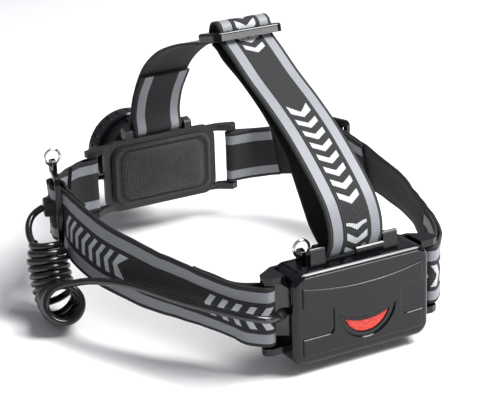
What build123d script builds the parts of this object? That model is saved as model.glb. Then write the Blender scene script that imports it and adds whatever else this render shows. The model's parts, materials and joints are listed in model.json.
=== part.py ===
from build123d import *
import os
from math import radians, tan, pi

# Strap headlamp: a tilting lamp on the brow, a battery pack with a rear light, an elastic
# headband and crown strap, and a curly cord on the wearer's left.
# Frame: +Z up, the lamp faces -Y, the battery pack faces +Y, the wearer's left is +X.
# The origin is the middle of the headband loop. All sizes are in millimetres.

# ---------------------------------------------------------------- driving dimensions
PACK_W = 76.0           # battery pack, side to side
PACK_H = 46.5           # battery pack, top to bottom
PACK_Z = -14.5          # height of the pack's middle
PLATE_BACK = 91.0       # head side of the rear bracket's plate
CASE_BACK = 94.0        # where the battery case starts
PARTING = 106.5         # joint between battery case and cover
PACK_FRONT = 112.0      # outer face of the cover
CASE_WALL = 1.3
PACK_CORNER = 7.0
PANEL_RISE = 0.8        # raised panel on the cover

CELL_D = 14.3           # AA cells
CELL_L = 50.5
CELL_NUB = 1.5
CELL_PITCH = 14.5
CELL_Y = 102.6
CELL_X = -7.0

BAND_W = 30.0           # webbing
BAND_T = 1.6
SLOT_H = 32.0           # height of a strap slot
ARM_T = 3.5             # thickness of a strap frame's arms
FRAME_Z = -12.0         # height of the pack's strap frames' middle
BAR_R = 1.8             # radius of the bars the webbing goes round
REAR_BAR = (45.6, 101.2)    # x, y of the pack's strap bar
FRONT_BAR = (44.4, -93.0)   # x, y of the lamp's strap bar
REAR_SLOPE = -0.11      # rise of the rear band's plane along +Y
FRONT_SLOPE = 0.18      # rise of the front band's plane along +Y

LAMP_Z = -5.0           # height of the lamp's middle
BROW_PLATE = -96.0      # head side of the front bracket's plate
PLATE_T = 2.5
HINGE_Y = -106.0        # tilt axis of the lamp
HINGE_R = 2.0
FIT = 0.05              # radial clearance of pins and shafts
LAMP_R = 21.0
BEZEL_R = 24.0

CORD_D = 3.6            # cord
COIL_D = 22.0           # curly cord, outer diameter

RING_R = 4.2            # split rings, to the middle of the wire
RING_WIRE = 1.4

parts = {}


def keep(label, part):
    """Label a finished piece and hold it for export."""
    part.label = label
    parts[label] = part


def rear(y):
    """Plane facing +Y at y, seen from behind the wearer: u is -X, v is up from the pack's middle."""
    return Plane(origin=(0, y, PACK_Z), x_dir=(-1, 0, 0), z_dir=(0, 1, 0))


def brow(y):
    """Plane facing -Y at y: u is +X, v is up from the lamp's middle."""
    return Plane(origin=(0, y, LAMP_Z), x_dir=(1, 0, 0), z_dir=(0, -1, 0))


def across(x, y, z):
    """Plane facing +X at a point: u is +Y, v is +Z."""
    return Plane(origin=(x, y, z), x_dir=(0, 1, 0), z_dir=(1, 0, 0))


# ================================================================ battery pack
CASE_DEPTH = PARTING - CASE_BACK
INNER_W = PACK_W - 2 * CASE_WALL
INNER_H = PACK_H - 2 * CASE_WALL
PIN_Y = 101.4                       # hinge of the cover, just under the case
PIN_Z = PACK_Z - PACK_H / 2 - 1.6
PIN_R = 0.8
KNUCKLE_R = 1.5
CASE_KNUCKLES = (-24.0, 24.0)
CASE_KNUCKLE_L = 8.0
COVER_KNUCKLE_L = 38.0
GLAND_TIP = Vector(44.8, 108.2, -11.0)
GLAND_DIR = Vector(0.81, 0.586, 0.0).normalized()

with BuildPart() as battery_case:
    with BuildSketch(rear(CASE_BACK)):
        RectangleRounded(PACK_W, PACK_H, PACK_CORNER)
    extrude(amount=CASE_DEPTH)
    fillet(battery_case.faces().sort_by(Axis.Y)[0].edges(), 1.0)
    with BuildSketch(rear(PARTING)):
        RectangleRounded(INNER_W, INNER_H, PACK_CORNER - CASE_WALL)
    extrude(amount=-(CASE_DEPTH - CASE_WALL), mode=Mode.SUBTRACT)
    # low cradle ribs under the cells
    with BuildSketch(rear(CASE_BACK + CASE_WALL)):
        with GridLocations(2 * abs(CELL_X) + 20, 0, 2, 1):
            Rectangle(1.2, INNER_H)
    extrude(amount=6.0)
    for row in (-1, 0, 1):
        cell_axis = Plane(origin=(CELL_X, CELL_Y, PACK_Z + row * CELL_PITCH), z_dir=(1, 0, 0))
        with BuildSketch(cell_axis):
            Circle(CELL_D / 2 + 0.1)
        extrude(amount=CELL_L / 2 + 1.2, both=True, mode=Mode.SUBTRACT)
    # knuckles under the case
    for x in CASE_KNUCKLES:
        with BuildSketch(across(x, PIN_Y, PIN_Z)):
            Circle(KNUCKLE_R)
            with Locations((-1.6, 1.0)):
                Rectangle(3.2, 2.2)
            Circle(PIN_R + FIT, mode=Mode.SUBTRACT)
        extrude(amount=CASE_KNUCKLE_L / 2, both=True)
    # hole for the cable gland
    with BuildSketch(Plane(origin=GLAND_TIP - GLAND_DIR * 5.4, z_dir=GLAND_DIR)):
        Circle(1.9)
    extrude(amount=-9.0, mode=Mode.SUBTRACT)
keep("battery_case", battery_case.part)


def panel_outline():
    """Half-height outline of the cover's raised panel, in the rear plane's u and v."""
    with BuildSketch() as outline:
        with BuildLine():
            ThreePointArc((-33.2, 16.4), (0.8, 12.5), (33.6, 16.0))
            Line((33.6, 16.0), (33.6, 6.2))
            FilletPolyline((33.6, 6.2), (21.2, 4.6), (21.2, -9.2), (33.6, -8.6), radius=4.0)
            Line((33.6, -8.6), (33.6, -18.2))
            Line((33.6, -18.2), (-33.2, -18.2))
            Line((-33.2, -18.2), (-33.2, -9.2))
            FilletPolyline((-33.2, -9.2), (-16.4, -9.2), (-16.4, 4.6), (-33.2, 6.6), radius=2.6)
            Line((-33.2, 6.6), (-33.2, 16.4))
        make_face()
    return outline.sketch


def crescent(half_width, top, upper_sag, lower_sag, centre=2.2):
    """Smile-shaped outline: two arcs that meet at its tips."""
    with BuildSketch() as outline:
        with BuildLine():
            ThreePointArc((centre - half_width, top), (centre, top - upper_sag), (centre + half_width, top))
            ThreePointArc((centre - half_width, top), (centre, top - lower_sag), (centre + half_width, top))
        make_face()
    return outline.sketch


RIM = dict(half_width=15.8, top=-1.6, upper_sag=3.6, lower_sag=13.8)
LENS = dict(half_width=12.6, top=-4.0, upper_sag=2.9, lower_sag=9.2)
COVER_WALL = 1.5

with BuildPart() as battery_cover:
    with BuildSketch(rear(PARTING + 0.1)):
        RectangleRounded(PACK_W, PACK_H, PACK_CORNER)
    extrude(amount=PACK_FRONT - PARTING - 0.1)
    fillet(battery_cover.faces().sort_by(Axis.Y)[-1].edges(), 3.0)
    with BuildSketch(rear(PACK_FRONT - 0.5)):
        add(panel_outline())
    extrude(amount=PANEL_RISE + 0.5)
    fillet(battery_cover.faces().sort_by(Axis.Y)[-1].edges(), 0.6)
    # hollow behind the face
    with BuildSketch(rear(PARTING + 0.1)):
        RectangleRounded(INNER_W, INNER_H, PACK_CORNER - CASE_WALL)
    extrude(amount=PACK_FRONT - PARTING - 0.1 - COVER_WALL, mode=Mode.SUBTRACT)
    # sloping recess of the rear light, then its window
    with BuildSketch(rear(PACK_FRONT + PANEL_RISE)):
        add(crescent(**RIM))
    extrude(amount=-2.0, mode=Mode.SUBTRACT)
    chamfer(battery_cover.faces().sort_by(Axis.Y)[-1].inner_wires()[0].edges(), 0.45)
    with BuildSketch(rear(PACK_FRONT + PANEL_RISE)):
        add(crescent(**LENS))
    extrude(amount=-5.0, mode=Mode.SUBTRACT)
    # knuckles and the web that reaches them under the case
    with BuildSketch(across(0, PIN_Y, PIN_Z)):
        Circle(KNUCKLE_R)
        with BuildLine():
            Polyline((0, 1.35), (5.2, 1.35), (5.2, 2.4), (7.0, 2.4), (7.0, 1.3), (5.6, 0.55), (0, -1.5), close=True)
        make_face()
        Circle(PIN_R + FIT, mode=Mode.SUBTRACT)
    extrude(amount=COVER_KNUCKLE_L / 2, both=True)
keep("battery_cover", battery_cover.part)

with BuildPart() as light_bezel:
    with BuildSketch(rear(PACK_FRONT + PANEL_RISE - 1.95)):
        add(crescent(half_width=15.5, top=-1.75, upper_sag=3.75, lower_sag=13.4))
        add(crescent(half_width=12.8, top=-3.95, upper_sag=2.85, lower_sag=9.4), mode=Mode.SUBTRACT)
    extrude(amount=1.1)
keep("rear_light_bezel", light_bezel.part)

with BuildPart() as light_lens:
    with BuildSketch(rear(PACK_FRONT + PANEL_RISE - 3.0)):
        add(crescent(half_width=12.3, top=-4.15, upper_sag=2.9, lower_sag=8.8))
    extrude(amount=2.0)
    fillet(light_lens.faces().sort_by(Axis.Y)[-1].edges(), 0.5)
keep("rear_light_lens", light_lens.part)

LIGHT_Z = PACK_Z - 7.3
with BuildPart() as light_board:
    with BuildSketch(Plane(origin=(-3, 107.6, LIGHT_Z), x_dir=(-1, 0, 0), z_dir=(0, 1, 0))):
        Rectangle(18, 2.4)
    extrude(amount=0.6)
    with BuildSketch(Plane(origin=(-3, 108.2, LIGHT_Z), x_dir=(-1, 0, 0), z_dir=(0, 1, 0))):
        with GridLocations(6, 0, 2, 1):
            Rectangle(2.8, 2.0)
    extrude(amount=0.9)
keep("rear_light_board", light_board.part)

with BuildPart() as cover_seal:
    with BuildSketch(rear(PARTING + 0.4)):
        RectangleRounded(INNER_W - 0.2, INNER_H - 0.2, PACK_CORNER - CASE_WALL - 0.1)
        RectangleRounded(INNER_W - 2.6, INNER_H - 2.6, PACK_CORNER - CASE_WALL - 1.3, mode=Mode.SUBTRACT)
    extrude(amount=1.2)
keep("cover_seal", cover_seal.part)

with BuildPart() as hinge_pin:
    with BuildSketch(across(0, PIN_Y, PIN_Z)):
        Circle(PIN_R)
    extrude(amount=28.0, both=True)
keep("cover_hinge_pin", hinge_pin.part)

for number, row in enumerate((1, 0, -1), start=1):
    facing = 1 if row else -1
    cell_z = PACK_Z + row * CELL_PITCH
    can_end = CELL_X + facing * (CELL_L / 2 - CELL_NUB)
    with BuildPart() as cell:
        with BuildSketch(Plane(origin=(can_end, CELL_Y, cell_z), z_dir=(-facing, 0, 0))):
            Circle(CELL_D / 2)
        extrude(amount=CELL_L - CELL_NUB)
        fillet(cell.edges().filter_by(GeomType.CIRCLE), 0.6)
        with BuildSketch(Plane(origin=(can_end, CELL_Y, cell_z), z_dir=(facing, 0, 0))):
            Circle(2.7)
        extrude(amount=CELL_NUB)
    keep(f"cell_{number}", cell.part)

CONTACT_X = CELL_X + CELL_L / 2
with BuildPart() as contact_board:
    with BuildSketch(across(CONTACT_X + 6.0, 102.4, PACK_Z)):
        Rectangle(13.6, INNER_H - 4.0)
    extrude(amount=1.2)
keep("contact_board", contact_board.part)

with BuildPart() as contact_springs:
    for row in (-1, 0, 1):
        with BuildSketch(across(CONTACT_X + 0.8, CELL_Y, PACK_Z + row * CELL_PITCH)):
            Circle(4.2)
            Circle(3.4, mode=Mode.SUBTRACT)
        extrude(amount=5.1)
keep("contact_springs", contact_springs.part)

with BuildPart() as contact_plates:
    for row in (-1, 0, 1):
        with BuildSketch(across(CELL_X - CELL_L / 2 - 0.9, CELL_Y, PACK_Z + row * CELL_PITCH)):
            RectangleRounded(10, 10, 2)
        extrude(amount=0.5)
keep("contact_plates", contact_plates.part)

with BuildPart() as charge_board:
    with BuildSketch(Plane(origin=(30.6, 99.2, PACK_Z), x_dir=(-1, 0, 0), z_dir=(0, 1, 0))):
        Rectangle(8, 30)
    extrude(amount=1.2)
    with BuildSketch(Plane(origin=(30.6, 100.4, PACK_Z - 4), x_dir=(-1, 0, 0), z_dir=(0, 1, 0))):
        Rectangle(5, 7)
    extrude(amount=1.4)
keep("control_board", charge_board.part)

# ---------------------------------------------------------------- rear bracket
LUG_IN = 16.2                       # strap lugs on top of the bracket
LUG_ARM = 2.0
LUG_EAR = 8.0
REAR_TOP_BAR = (101.2, 13.2)        # y, z of the bar the crown strap goes round
RING_REAR = Vector(23.4, 95.4, 10.4)


def strap_frame(outline, bar, side, middle):
    """Arms above and below a strap slot, from an outline in the XY plane, and the bar between them."""
    with BuildPart() as frame:
        for centre in (middle + (SLOT_H + ARM_T) / 2, middle - (SLOT_H + ARM_T) / 2):
            with BuildSketch(Plane.XY.offset(centre)):
                with BuildLine():
                    Polyline(*[(side * x, y) for x, y in outline], close=True)
                make_face()
            extrude(amount=ARM_T / 2, both=True)
        with BuildSketch(Plane.XY.offset(middle)):
            with Locations((side * bar[0], bar[1])):
                Circle(BAR_R)
        extrude(amount=SLOT_H / 2 + 0.5, both=True)
    return frame.part


with BuildPart() as rear_bracket:
    with BuildSketch(rear(PLATE_BACK)):
        RectangleRounded(PACK_W, PACK_H, PACK_CORNER)
    extrude(amount=CASE_BACK - PLATE_BACK - 0.05)
    fillet(rear_bracket.faces().sort_by(Axis.Y)[0].edges(), 1.4)
    for side in (1, -1):
        add(strap_frame([(33.5, 91.6), (38.6, 91.6), (47.6, 97.6), (48.9, 100.6), (48.2, 103.4), (45.2, 104.9),
                         (38.15, 104.9), (38.15, 93.9), (33.5, 93.9)], REAR_BAR, side, FRAME_Z))
    # lugs and bar for the crown strap
    for side in (1, -1):
        with BuildSketch(across(side * (LUG_IN + LUG_ARM / 2), 0, 0)):
            with BuildLine():
                FilletPolyline((91.4, 6.0), (91.4, 9.4), (97.0, 15.8), (104.6, 17.4), (105.2, 9.0), radius=1.9)
                Line((105.2, 9.0), (91.4, 6.0))
            make_face()
        extrude(amount=LUG_ARM / 2, both=True)
        with BuildSketch(across(side * (LUG_IN + LUG_EAR / 2), 0, 0)):
            with BuildLine():
                FilletPolyline((101.2, 8.9), (101.2, 14.4), (102.8, 17.0), (104.6, 17.4), (105.2, 8.9), radius=1.2)
                Line((105.2, 8.9), (101.2, 8.9))
            make_face()
        extrude(amount=LUG_EAR / 2, both=True)
    # low lip in front of the strap's end
    with BuildSketch(across(-8.6, 0, 0)):
        with BuildLine():
            Polyline((103.9, 8.9), (105.3, 8.9), (105.3, 12.2), (104.7, 12.8), (103.9, 12.8), close=True)
        make_face()
    extrude(amount=7.7, both=True)
    with BuildSketch(across(0, *REAR_TOP_BAR)):
        Circle(BAR_R)
    extrude(amount=LUG_IN + 0.5, both=True)
    # tab for the split ring
    with BuildSketch(across(RING_REAR.X, RING_REAR.Y - 0.6, RING_REAR.Z)):
        SlotOverall(8.0, 6.0, rotation=90)
        with Locations((0.6, 0)):
            Circle(1.15, mode=Mode.SUBTRACT)
    extrude(amount=1.1, both=True)
    # lugs and tab stand clear of the case's top
    with BuildSketch(rear(CASE_BACK - 0.05)):
        RectangleRounded(PACK_W + 0.1, PACK_H + 0.1, PACK_CORNER)
    extrude(amount=20, mode=Mode.SUBTRACT)
keep("rear_bracket", rear_bracket.part)

SCREW_AT = [(sx * 26.0, sz * 16.0) for sx in (1, -1) for sz in (1, -1)]
with BuildPart() as case_screws:
    for x, z in SCREW_AT:
        with BuildSketch(rear(PLATE_BACK + 0.4)):
            with Locations((x, z)):
                Circle(2.4)
        extrude(amount=1.4)
        with BuildSketch(rear(PLATE_BACK + 1.8)):
            with Locations((x, z)):
                Circle(1.2)
        extrude(amount=2.4)
keep("case_screws", case_screws.part)


def screw_hole(x, z):
    """Counterbored hole of one case screw, to cut from plate and case."""
    with BuildPart() as hole:
        with BuildSketch(rear(PLATE_BACK - 1)):
            with Locations((x, z)):
                Circle(2.45)
        extrude(amount=2.8)
        with BuildSketch(rear(PLATE_BACK)):
            with Locations((x, z)):
                Circle(1.25)
        extrude(amount=4.4)
    return hole.part


for x, z in SCREW_AT:
    parts["rear_bracket"] = parts["rear_bracket"] - screw_hole(x, z)
    parts["battery_case"] = parts["battery_case"] - screw_hole(x, z)
parts["rear_bracket"].label = "rear_bracket"
parts["battery_case"].label = "battery_case"

with BuildPart() as rear_pad:
    with BuildSketch(rear(PLATE_BACK - 3.6)):
        RectangleRounded(PACK_W - 8, PACK_H - 8, 6)
    extrude(amount=3.5)
    fillet(rear_pad.faces().sort_by(Axis.Y)[0].edges(), 1.2)
keep("rear_pad", rear_pad.part)

with BuildPart() as rear_gland:
    with BuildSketch(Plane(origin=GLAND_TIP, z_dir=-GLAND_DIR)):
        Circle(2.2)
    with BuildSketch(Plane(origin=GLAND_TIP - GLAND_DIR * 5.4, z_dir=-GLAND_DIR)):
        Circle(2.8)
    loft()
    with BuildSketch(Plane(origin=GLAND_TIP - GLAND_DIR * 5.4, z_dir=-GLAND_DIR)):
        Circle(1.8)
    extrude(amount=4.0)
keep("rear_cable_gland", rear_gland.part)
parts["rear_cable_gland"] = parts["rear_cable_gland"] - parts["battery_case"]
parts["rear_cable_gland"].label = "rear_cable_gland"


def split_ring(anchor, lean):
    """Wire ring hanging in a tab's hole, its middle above the hole."""
    with BuildPart() as ring:
        middle = anchor + Vector(0, lean * RING_R, RING_R * (1 - lean * lean) ** 0.5)
        up = (middle - anchor).normalized()
        frame = Plane(origin=middle, x_dir=(1, 0, 0), z_dir=Vector(1, 0, 0).cross(up))
        with BuildSketch(Plane(origin=middle + frame.x_dir * RING_R, x_dir=frame.x_dir, z_dir=up)):
            Circle(RING_WIRE / 2)
        revolve(axis=Axis(middle, frame.z_dir), revolution_arc=360)
    return ring.part


keep("rear_ring", split_ring(RING_REAR, 0.0))

# ================================================================ front bracket and lamp
with BuildPart() as front_bracket:
    with BuildSketch(brow(BROW_PLATE)):
        RectangleRounded(70, 41, 8)
    extrude(amount=PLATE_T)
    for side in (1, -1):
        add(strap_frame([(30, -98.4), (30, -96.1), (36, -94.6), (42.6, -89.8), (46.6, -91.6),
                         (47.2, -95.0), (43.6, -96.4), (38, -98.4)], FRONT_BAR, side, LAMP_Z))
    # lugs and bar for the crown strap
    for side in (1, -1):
        with BuildSketch(across(side * 18.4, 0, 0)):
            with BuildLine():
                FilletPolyline((-96.2, 12.0), (-96.2, 20.0), (-103.2, 21.4), (-103.2, 16.0), (-98.4, 12.0),
                               radius=1.9)
                Line((-98.4, 12.0), (-96.2, 12.0))
            make_face()
        extrude(amount=2.2, both=True)
    with BuildSketch(across(0, -100.2, 18.4)):
        Circle(BAR_R)
    extrude(amount=LUG_IN + 0.5, both=True)
    # hinge ears
    for side in (1, -1):
        with BuildSketch(across(side * 14.6, HINGE_Y, LAMP_Z)):
            Circle(6.0)
            with Locations((4.0, 0)):
                Rectangle(8.0, 12.0)
            Circle(HINGE_R + FIT, mode=Mode.SUBTRACT)
        extrude(amount=2.0, both=True)
    # boss for the lamp cable
    with BuildSketch(across(19.6, -101.9, LAMP_Z)):
        RectangleRounded(6.8, 8.0, 1.5)
    extrude(amount=4.4)
    with BuildSketch(across(20.0, -102.2, LAMP_Z)):
        Circle(1.9)
    extrude(amount=4.0, mode=Mode.SUBTRACT)
keep("front_bracket", front_bracket.part)

with BuildPart() as front_pad:
    with BuildSketch(brow(BROW_PLATE + 3.6)):
        RectangleRounded(62, 34, 7)
    extrude(amount=3.5)
    fillet(front_pad.faces().sort_by(Axis.Y)[-1].edges(), 1.2)
keep("front_pad", front_pad.part)

with BuildPart() as tilt_pin:
    with BuildSketch(across(-17.4, HINGE_Y, LAMP_Z)):
        Circle(HINGE_R)
    extrude(amount=34.8)
    for side in (1, -1):
        with BuildSketch(across(side * 17.8, HINGE_Y, LAMP_Z)):
            Circle(3.4)
        extrude(amount=1.1, both=True)
keep("tilt_pin", tilt_pin.part)

REAR_Y = -113.0          # lamp housing, from its back to its mouth
SHOULDER_Y = -121.0
MOUTH_Y = -136.0
FRONT_Y = -144.0
BUTTON_Y = -126.2
BUTTON_R = 4.0
BUTTON_TOP = LAMP_Z + LAMP_R + 2.2
LAMP_AXIS = Axis((0, 0, LAMP_Z), (0, 1, 0))


def turned(*points):
    """Solid of revolution about the lamp's axis, from (radius, y) points."""
    with BuildPart() as solid:
        with BuildSketch(Plane.XY.offset(LAMP_Z)):
            with BuildLine():
                Polyline(*points, close=True)
            make_face()
        revolve(axis=LAMP_AXIS)
    return solid.part


with BuildPart() as lamp_shell:
    add(turned((0, REAR_Y), (11.5, REAR_Y), (LAMP_R, SHOULDER_Y), (LAMP_R, MOUTH_Y), (0, MOUTH_Y)))
    # cooling fins round the shoulder
    for turn in range(5):
        y = SHOULDER_Y + 1.2 + turn * 1.5
        edge = LAMP_R - 0.6 - (turn + 0.4) * 1.5 * (LAMP_R - 11.5) / 8.0
        add(turned((edge - 1.0, y - 0.4), (edge + 2.2, y - 0.4), (edge + 2.2, y + 0.4), (edge - 1.0, y + 0.4)))
    # knuckle on the tilt pin
    with BuildSketch(across(0, HINGE_Y, LAMP_Z)):
        Circle(5.4)
        with Locations((-4.2, 0)):
            Rectangle(8.4, 10.8)
    extrude(amount=12.4, both=True)
    # button well
    with BuildSketch(Plane.XY.offset(LAMP_Z + LAMP_R - 6)):
        with Locations((0, BUTTON_Y)):
            Circle(BUTTON_R + 1.2)
    extrude(amount=7.2)
    # inside, pin bore and button bore
    add(turned((0, REAR_Y - 2), (10.2, REAR_Y - 2), (LAMP_R - 1.8, SHOULDER_Y - 1.2), (LAMP_R - 1.8, MOUTH_Y - 1),
               (0, MOUTH_Y - 1)), mode=Mode.SUBTRACT)
    with BuildSketch(across(0, HINGE_Y, LAMP_Z)):
        Circle(HINGE_R + FIT)
    extrude(amount=20, both=True, mode=Mode.SUBTRACT)
    with BuildSketch(Plane.XY.offset(LAMP_Z + LAMP_R - 7)):
        with Locations((0, BUTTON_Y)):
            Circle(BUTTON_R + FIT)
    extrude(amount=10, mode=Mode.SUBTRACT)
keep("lamp_shell", lamp_shell.part)

BUTTON_TRAVEL = 1.2
BUTTON_SEAT = LAMP_Z + LAMP_R - 1.6
with BuildPart() as power_button:
    with BuildSketch(Plane.XY.offset(BUTTON_SEAT)):
        with Locations((0, BUTTON_Y)):
            Circle(BUTTON_R)
    extrude(amount=BUTTON_TOP - BUTTON_SEAT)
    fillet(power_button.faces().sort_by(Axis.Z)[-1].edges(), 0.8)
keep("power_button", power_button.part)

with BuildPart() as button_switch:
    with BuildSketch(Plane.XY.offset(BUTTON_SEAT - BUTTON_TRAVEL - 2.6)):
        with Locations((0, BUTTON_Y)):
            Rectangle(7.0, 7.0)
    extrude(amount=2.5)
keep("button_switch", button_switch.part)

with BuildPart() as bezel:
    add(turned((LAMP_R + 0.1, MOUTH_Y + 4.5), (BEZEL_R - 0.8, MOUTH_Y + 4.5), (BEZEL_R, MOUTH_Y + 3.5),
               (BEZEL_R, FRONT_Y + 1.5), (BEZEL_R - 1.5, FRONT_Y), (BEZEL_R - 4.0, FRONT_Y + 1.2),
               (BEZEL_R - 4.0, FRONT_Y + 2.2), (LAMP_R - 0.6, FRONT_Y + 2.2), (LAMP_R - 0.6, MOUTH_Y - 0.1),
               (LAMP_R + 0.1, MOUTH_Y - 0.1)))
    with BuildSketch(Plane(origin=(0, MOUTH_Y + 2.6, LAMP_Z), z_dir=(0, -1, 0))):
        with PolarLocations(BEZEL_R + 0.4, 24):
            Circle(0.9)
    extrude(amount=6.0, mode=Mode.SUBTRACT)
keep("lamp_bezel", bezel.part)

LENS_T = 1.8
with BuildPart() as lamp_lens:
    add(turned((0, FRONT_Y + 2.3), (LAMP_R - 0.7, FRONT_Y + 2.3), (LAMP_R - 0.7, FRONT_Y + 2.3 + LENS_T),
               (0, FRONT_Y + 2.3 + LENS_T)))
keep("lamp_lens", lamp_lens.part)

SEAL_Y = FRONT_Y + 2.3 + LENS_T + 0.05
with BuildPart() as lens_seal:
    add(turned((LAMP_R - 2.4, SEAL_Y), (LAMP_R - 0.7, SEAL_Y), (LAMP_R - 0.7, SEAL_Y + 1.2),
               (LAMP_R - 2.4, SEAL_Y + 1.2)))
keep("lens_seal", lens_seal.part)

LED_Y = -122.6
with BuildPart() as reflector:
    with BuildSketch(Plane.XY.offset(LAMP_Z)):
        with BuildLine():
            ThreePointArc((3.2, LED_Y - 0.3), (11.4, -129.6), (17.4, MOUTH_Y - 1.2))
            Line((17.4, MOUTH_Y - 1.2), (LAMP_R - 0.9, MOUTH_Y - 1.2))
            Line((LAMP_R - 0.9, MOUTH_Y - 1.2), (LAMP_R - 0.9, MOUTH_Y - 2.2))
            Line((LAMP_R - 0.9, MOUTH_Y - 2.2), (16.4, MOUTH_Y - 2.2))
            ThreePointArc((16.4, MOUTH_Y - 2.2), (10.4, -130.8), (2.6, LED_Y - 1.3))
            Line((2.6, LED_Y - 1.3), (3.2, LED_Y - 0.3))
        make_face()
    revolve(axis=LAMP_AXIS)
keep("reflector", reflector.part)

with BuildPart() as led_board:
    with BuildSketch(brow(-121.0)):
        RegularPolygon(9.5, 6)
    extrude(amount=1.5)
keep("led_board", led_board.part)

with BuildPart() as led:
    with BuildSketch(brow(-122.55)):
        Rectangle(3.4, 3.4)
    extrude(amount=0.7)
    with BuildSketch(brow(-123.25)):
        Circle(1.3)
    extrude(amount=1.1)
    fillet(led.faces().sort_by(Axis.Y)[0].edges(), 0.6)
keep("led_emitter", led.part)

with BuildPart() as heat_sink:
    add(turned((0, -120.9), (12.5, -120.9), (12.5, -119.2), (0, -119.2)))
keep("heat_spreader", heat_sink.part)

with BuildPart() as driver_board:
    with BuildSketch(brow(-116.4)):
        Circle(9.0)
    extrude(amount=1.2)
    with BuildSketch(brow(-117.6)):
        with Locations((-3, 2)):
            Rectangle(5, 5)
        with Locations((4.2, -2)):
            Rectangle(2.5, 4)
    extrude(amount=1.3)
keep("driver_board", driver_board.part)

with BuildPart() as front_gland:
    with BuildSketch(across(24.1, -102.2, LAMP_Z)):
        Circle(3.1)
    extrude(amount=1.6)
    with BuildSketch(across(25.7, -102.2, LAMP_Z)):
        Circle(2.8)
    with BuildSketch(across(30.5, -102.2, LAMP_Z)):
        Circle(2.3)
    loft()
    with BuildSketch(across(20.2, -102.2, LAMP_Z)):
        Circle(1.8)
    extrude(amount=4.0)
keep("front_cable_gland", front_gland.part)

# ================================================================ headband
SLIDER_MIDDLE = Vector(85.3, -47.0, 2.6)
SLIDER_ALONG = Vector(0.296, 0.955, 0.0).normalized()      # towards the back of the head
SLIDER_OUT = Vector(0.955, -0.296, 0.0).normalized()
SLIDER_L = 22.0
SLIDER_H = 39.5
SLIDER_T = 3.0


def sloped(slope, offset):
    """Plane of a band: its height rises by slope per millimetre of +Y, from offset at y = 0."""
    return Plane(origin=(0, 0, offset), x_dir=(1, 0, 0), z_dir=(0, -slope, 1))


def webbing(plane, points, width):
    """Strap standing on edge: its line in the plane, thickened and widened evenly."""
    with BuildPart() as strap:
        with BuildSketch(plane):
            with BuildLine():
                Spline(*points)
            trace(line_width=BAND_T)
        extrude(amount=width / 2, both=True)
    return strap.part


REAR_BAND = [(49.8, 103.6), (55.2, 96.2), (71.2, 60.5), (83.1, 30.7), (88.1, 0.0), (88.6, -15.0), (87.4, -28.0),
             (86.6, -33.8)]
FRONT_BAND = [(79.4, -62.2), (75.4, -67.8), (66.4, -79.5), (56.5, -89.4), (47.0, -96.2)]

for side, word in ((1, "left"), (-1, "right")):
    rear_line = [(side * x, y) for x, y in REAR_BAND]
    keep(f"headband_rear_{word}", webbing(sloped(REAR_SLOPE, 0), rear_line, BAND_W))
    front_line = [(side * x, y) for x, y in FRONT_BAND]
    keep(f"headband_front_{word}", webbing(sloped(FRONT_SLOPE, 11.6), front_line, BAND_W))

slider_plane = Plane(origin=SLIDER_MIDDLE - SLIDER_OUT * (SLIDER_T / 2), x_dir=SLIDER_ALONG, z_dir=SLIDER_OUT)
with BuildPart() as slider:
    with BuildSketch(slider_plane):
        RectangleRounded(SLIDER_L, SLIDER_H, 3.0)
        with Locations((5.2, 0), (-5.2, 0)):
            Rectangle(6.4, SLOT_H, mode=Mode.SUBTRACT)
    extrude(amount=SLIDER_T)
    fillet(slider.faces().sort_by(Axis(slider_plane.origin, SLIDER_OUT))[-1].outer_wire().edges(), 0.8)
keep("side_slider_left", slider.part)
keep("side_slider_right", mirror(slider.part, about=Plane.YZ))

# ring and cord guide on the left slider
RING_FRONT = SLIDER_MIDDLE + SLIDER_ALONG * -8.0 + Vector(0, 0, 22.4)
with BuildPart() as ring_tab:
    with BuildSketch(across(RING_FRONT.X, RING_FRONT.Y, RING_FRONT.Z - 1.2)):
        SlotOverall(9.0, 6.0, rotation=90)
        with Locations((0, 1.2)):
            Circle(1.15, mode=Mode.SUBTRACT)
    extrude(amount=1.1, both=True)
parts["side_slider_left"] = parts["side_slider_left"] + ring_tab.part
parts["side_slider_left"].label = "side_slider_left"
keep("front_ring", split_ring(RING_FRONT, 0.0))

GUIDE_FOOT = SLIDER_MIDDLE + SLIDER_OUT * (SLIDER_T / 2 + 0.02) + Vector(0, 0, 2.4)
guide_plane = Plane(origin=GUIDE_FOOT, x_dir=SLIDER_ALONG, z_dir=SLIDER_OUT)
with BuildPart() as cord_guide:
    with BuildSketch(guide_plane):
        RectangleRounded(9.0, 9.0, 2.0)
    extrude(amount=5.6)
    fillet(cord_guide.faces().sort_by(Axis(GUIDE_FOOT, SLIDER_OUT))[-1].edges(), 1.2)
keep("cord_guide", cord_guide.part)

# ================================================================ crown strap
OUTER_PLY = [(103.9, 15.6), (106.2, 21.5), (101.0, 34.4), (86.5, 47.4), (69.4, 59.7), (51.6, 69.9), (33.3, 78.9),
             (19.5, 86.6)]
INNER_PLY = [(97.4, 14.6), (93.0, 17.6), (87.6, 22.9), (79.8, 35.0), (69.4, 49.4), (57.0, 60.0), (45.3, 68.2),
             (26.4, 78.0), (8.0, 85.0)]
FRONT_PLY = [(-12.0, 88.2), (-25.0, 85.4), (-45.0, 79.8), (-66.0, 71.0), (-84.0, 57.8), (-96.0, 41.0), (-102.8, 22.6)]
keep("crown_strap_outer", webbing(Plane.YZ, OUTER_PLY, BAND_W))
keep("crown_strap_inner", webbing(Plane.YZ, INNER_PLY, BAND_W))
keep("crown_strap_front", webbing(Plane.YZ, FRONT_PLY, BAND_W))

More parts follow.
